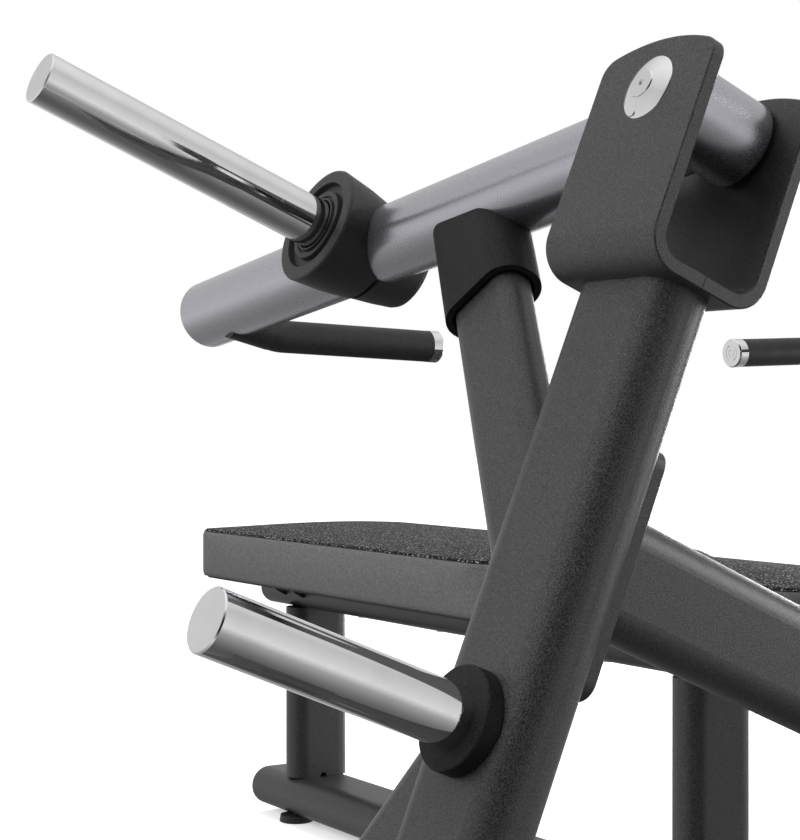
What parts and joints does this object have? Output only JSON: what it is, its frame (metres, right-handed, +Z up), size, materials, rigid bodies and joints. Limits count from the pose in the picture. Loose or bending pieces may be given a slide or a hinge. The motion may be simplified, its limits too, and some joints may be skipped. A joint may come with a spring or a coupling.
{
  "type": "lying chest press bench with lever arms",
  "caption": "Plate-loaded lying press machine: flat padded bench between leaning side frames, each with a swinging lever arm, plate horns and a grip.",
  "frame": {"origin": "on the floor under the middle of the machine's bounding box, in its mirror plane", "axes": "+X to the machine's right across it, +Y from the pivots towards the foot end of the bench, +Z up"},
  "size_m": [1.8038, 1.672, 0.9726],
  "materials": {
    "powder_coat": "fine-textured charcoal powder coat",
    "silver_coat": "metallic silver powder coat with a fine sparkle",
    "chrome": "polished hard chrome with faint hairline scratches",
    "satin_black": "satin black enamel",
    "rubber": "matt black rubber",
    "cushion": "grained black upholstery leather, smoother grey-black sides",
    "plywood": "plain birch plywood",
    "black_plastic": "moulded charcoal plastic",
    "steel": "zinc-plated and ground steel"
  },
  "bodies": {
    "frame": {"base_spine": "powder_coat", "bench_pad": "cushion", "bench_rail": "powder_coat", "brace_flange_left": "powder_coat", "brace_flange_right": "powder_coat", "centre_post": "powder_coat", "clevis_inner_left": "powder_coat", "clevis_inner_right": "powder_coat", "clevis_outer_left": "powder_coat", "clevis_outer_right": "powder_coat", "cross_brace_left": "powder_coat", "cross_brace_right": "powder_coat", "flange_bolts": "steel", "foot_screws": "steel", "front_column": "powder_coat", "main_post_left": "powder_coat", "main_post_right": "powder_coat", "pad_board": "plywood", "pad_bolts": "steel", "pad_brackets": "powder_coat", "pivot_caps": "chrome", "pivot_shaft_left": "steel", "pivot_shaft_right": "steel", "pivot_washers": "steel", "rail_end_caps": "black_plastic", "rear_column": "powder_coat", "rear_leg_left": "powder_coat", "rear_leg_right": "powder_coat", "rest_column_left": "powder_coat", "rest_column_right": "powder_coat", "rest_cup_left": "rubber", "rest_cup_right": "rubber", "rubber_feet": "rubber", "side_base_caps": "black_plastic", "side_base_left": "powder_coat", "side_base_right": "powder_coat", "spine_end_caps": "black_plastic", "storage_horn_left": "chrome", "storage_horn_right": "chrome", "storage_hub_left": "satin_black", "storage_hub_right": "satin_black"},
    "left_arm": {"arm_tube_left": "silver_coat", "grip_cap_left": "chrome", "handle_bar_left": "satin_black", "handle_grip_left": "rubber", "horn_hub_left": "satin_black", "hub_clamp_left": "satin_black", "lever_horn_left": "chrome", "pivot_bearings_left": "steel", "pivot_housing_left": "silver_coat"},
    "right_arm": {"arm_tube_right": "silver_coat", "grip_cap_right": "chrome", "handle_bar_right": "satin_black", "handle_grip_right": "rubber", "horn_hub_right": "satin_black", "hub_clamp_right": "satin_black", "lever_horn_right": "chrome", "pivot_bearings_right": "steel", "pivot_housing_right": "silver_coat"}
  },
  "joints": [
    {"name": "left_arm_swing", "type": "hinge", "parent": "frame", "child": "left_arm", "pos_m": [-0.449, -0.724, 0.878], "axis": [0.9239, 0, -0.3827], "range_deg": [0, 40]},
    {"name": "right_arm_swing", "type": "hinge", "parent": "frame", "child": "right_arm", "pos_m": [0.449, -0.724, 0.878], "axis": [0.9239, 0, 0.3827], "range_deg": [0, 40]}
  ]
}
